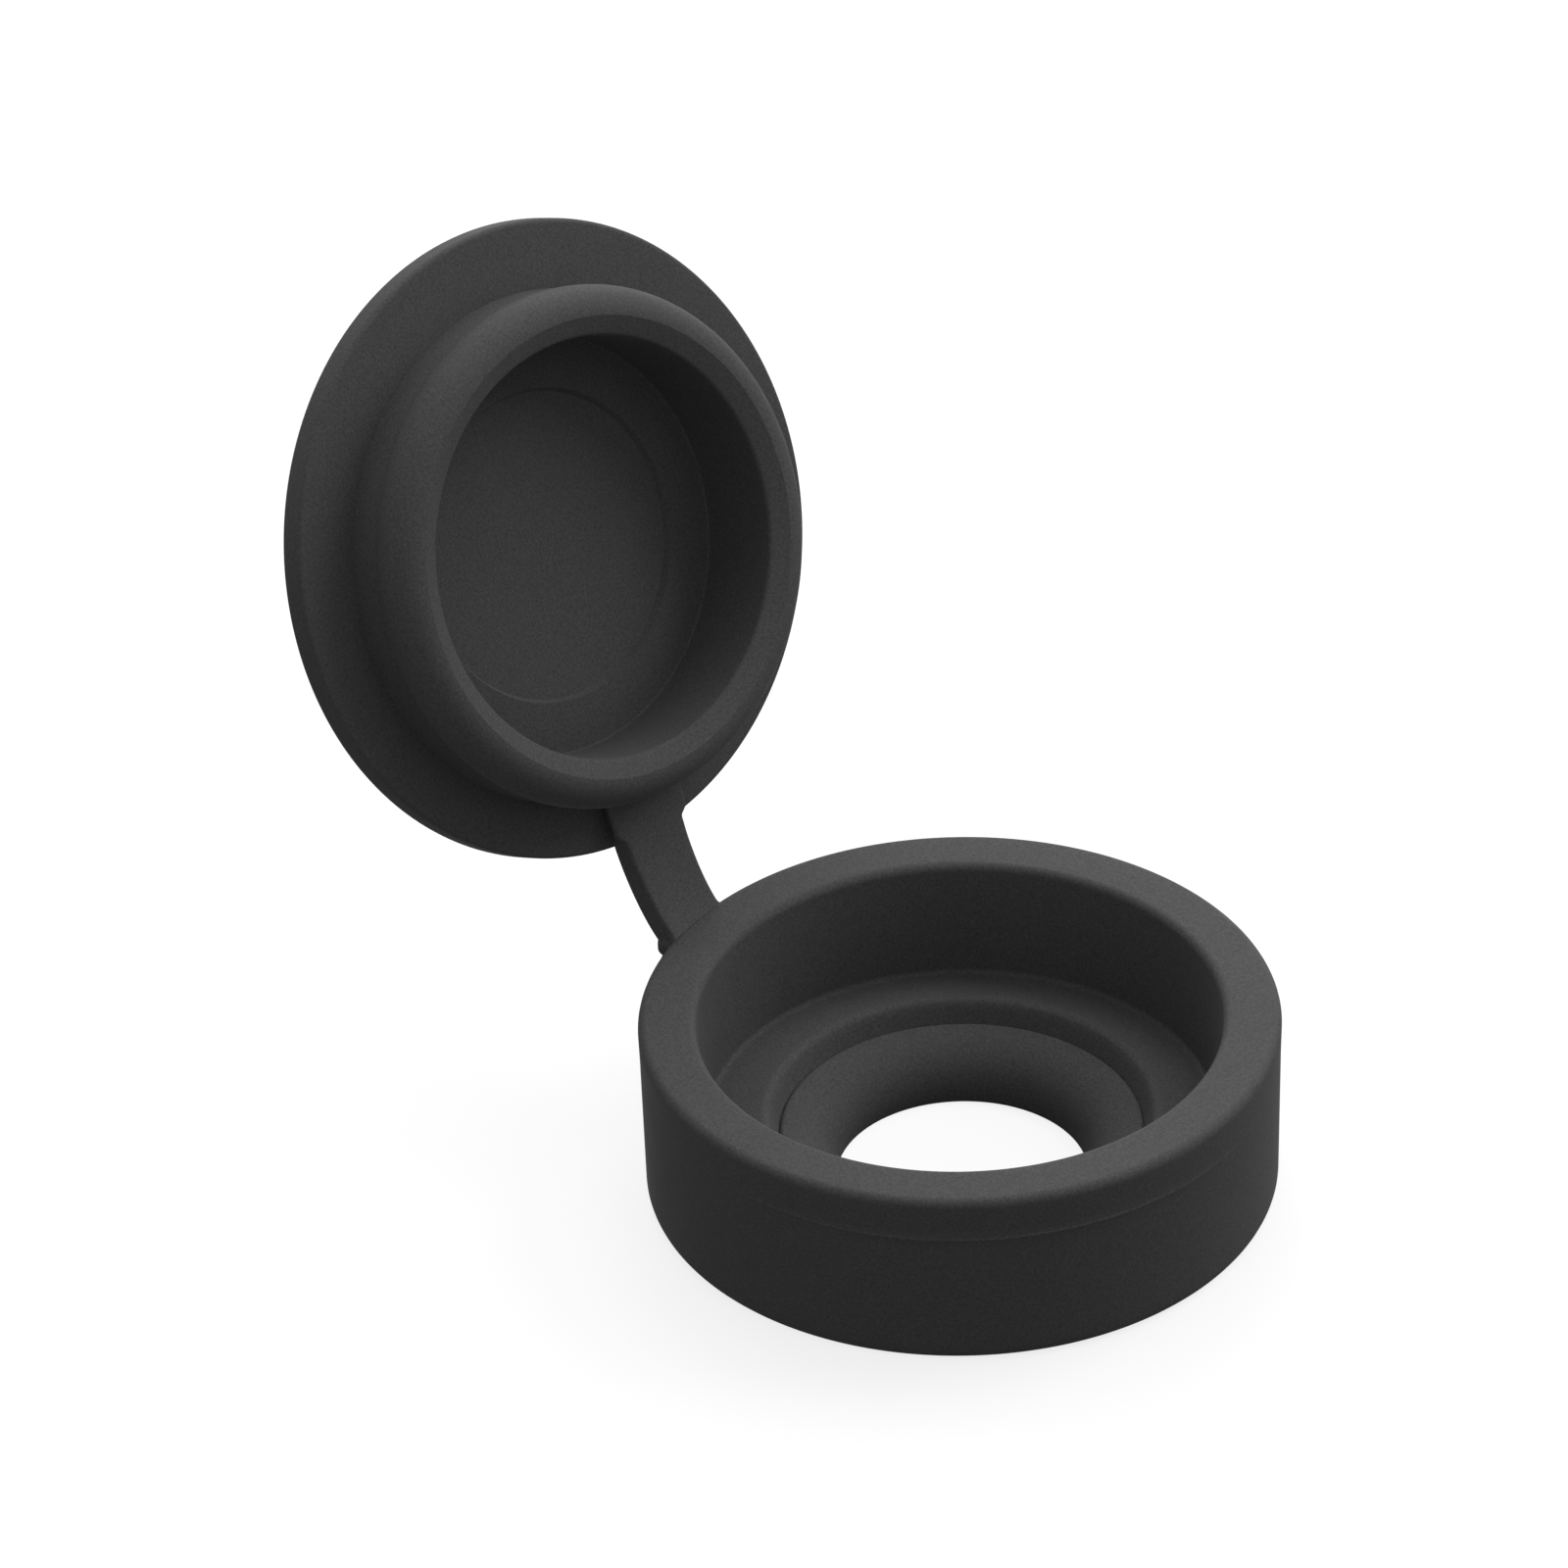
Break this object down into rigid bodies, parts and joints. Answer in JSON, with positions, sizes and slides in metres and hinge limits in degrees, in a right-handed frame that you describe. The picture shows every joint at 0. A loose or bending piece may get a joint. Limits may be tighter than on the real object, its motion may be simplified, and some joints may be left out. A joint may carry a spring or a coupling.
{
  "type": "hinged screw cover cap",
  "caption": "Moulded screw cover cap with a countersunk cup that a screw holds down and a snap-in lid on a thin bendable strap, shown open.",
  "frame": {"origin": "centre of the screw hole in the plane of the cup's underside", "axes": "+Z along the screw's axis out of the cup's open mouth, -X towards the root of the strap"},
  "size_m": [0.0194, 0.0133, 0.0167],
  "materials": {
    "plastic": "dark grey moulded plastic with a fine matt grain"
  },
  "bodies": {
    "root": {"screw_cover_cap": "plastic"}
  },
  "joints": []
}
